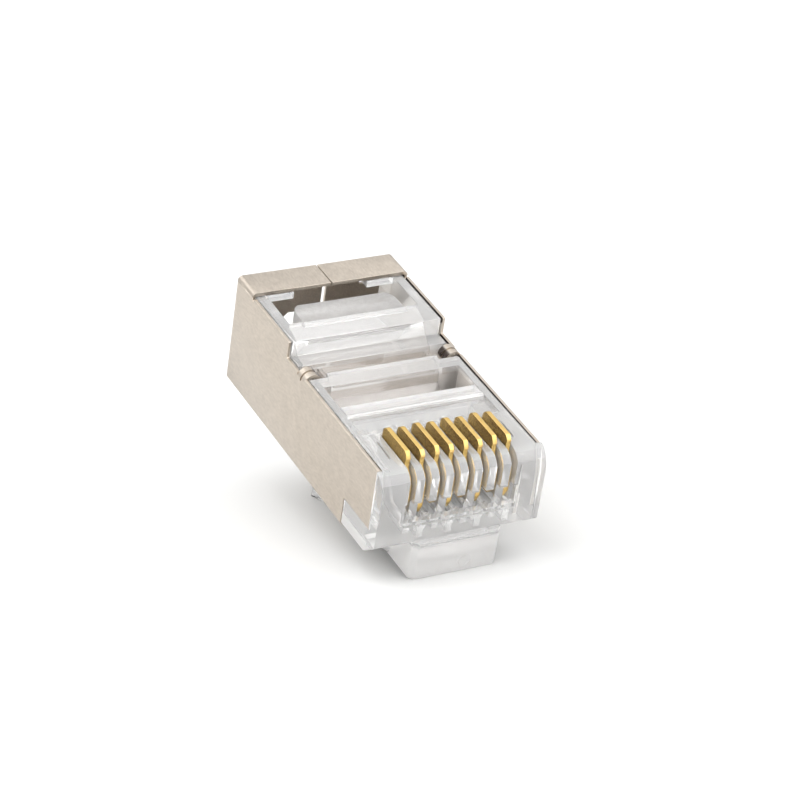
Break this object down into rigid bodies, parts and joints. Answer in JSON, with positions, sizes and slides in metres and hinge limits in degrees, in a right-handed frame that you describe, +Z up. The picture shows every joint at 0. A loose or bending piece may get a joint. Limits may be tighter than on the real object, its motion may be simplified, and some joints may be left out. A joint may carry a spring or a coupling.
{
  "type": "shielded ethernet plug",
  "caption": "Clear modular network plug with a folded metal shield, gold blade contacts, a springy latch underneath and an open cable mouth, not yet crimped.",
  "frame": {"origin": "on the table under the middle of the bounding box", "axes": "+Z up from the table, nose towards -Y, cable mouth towards +Y; the plug rests on its latch as in the picture, so its own length is pitched about 16.9 degrees nose down"},
  "size_m": [0.0116, 0.0228, 0.0155],
  "materials": {
    "clear_plastic": "clear moulded polycarbonate",
    "frosted_plastic": "translucent moulded polycarbonate",
    "plated_sheet": "satin nickel-plated sheet",
    "gold_plate": "gold-plated bronze"
  },
  "bodies": {
    "plug": {"housing": "clear_plastic", "shield": "plated_sheet"},
    "latch": {"latch": "frosted_plastic"},
    "jacket_clamp": {"jacket_clamp": "frosted_plastic"},
    "wire_clamp": {"wire_clamp": "clear_plastic"},
    "contact_1": {"contact_1": "gold_plate"},
    "contact_2": {"contact_2": "gold_plate"},
    "contact_3": {"contact_3": "gold_plate"},
    "contact_4": {"contact_4": "gold_plate"},
    "contact_5": {"contact_5": "gold_plate"},
    "contact_6": {"contact_6": "gold_plate"},
    "contact_7": {"contact_7": "gold_plate"},
    "contact_8": {"contact_8": "gold_plate"}
  },
  "joints": [
    {"name": "latch_press", "type": "hinge", "parent": "plug", "child": "latch", "pos_m": [0, -0.00669, 0.00158], "axis": [1, 0, 0], "range_deg": [0, 20], "stiffness_Nm_per_rad": 0.3},
    {"name": "jacket_clamp_fold", "type": "hinge", "parent": "plug", "child": "jacket_clamp", "pos_m": [0, 0.00365, 0.01313], "axis": [-1, 0, 0], "range_deg": [0, 35]},
    {"name": "wire_clamp_fold", "type": "hinge", "parent": "plug", "child": "wire_clamp", "pos_m": [0, -0.00453, 0.00944], "axis": [-1, 0, 0], "range_deg": [0, 25]},
    {"name": "contact_1_crimp", "type": "slide", "parent": "plug", "child": "contact_1", "axis": [0, 0.2901, -0.957], "range_m": [0, 0.0013]},
    {"name": "contact_2_crimp", "type": "slide", "parent": "plug", "child": "contact_2", "axis": [0, 0.2901, -0.957], "range_m": [0, 0.0013]},
    {"name": "contact_3_crimp", "type": "slide", "parent": "plug", "child": "contact_3", "axis": [0, 0.2901, -0.957], "range_m": [0, 0.0013]},
    {"name": "contact_4_crimp", "type": "slide", "parent": "plug", "child": "contact_4", "axis": [0, 0.2901, -0.957], "range_m": [0, 0.0013]},
    {"name": "contact_5_crimp", "type": "slide", "parent": "plug", "child": "contact_5", "axis": [0, 0.2901, -0.957], "range_m": [0, 0.0013]},
    {"name": "contact_6_crimp", "type": "slide", "parent": "plug", "child": "contact_6", "axis": [0, 0.2901, -0.957], "range_m": [0, 0.0013]},
    {"name": "contact_7_crimp", "type": "slide", "parent": "plug", "child": "contact_7", "axis": [0, 0.2901, -0.957], "range_m": [0, 0.0013]},
    {"name": "contact_8_crimp", "type": "slide", "parent": "plug", "child": "contact_8", "axis": [0, 0.2901, -0.957], "range_m": [0, 0.0013]}
  ]
}
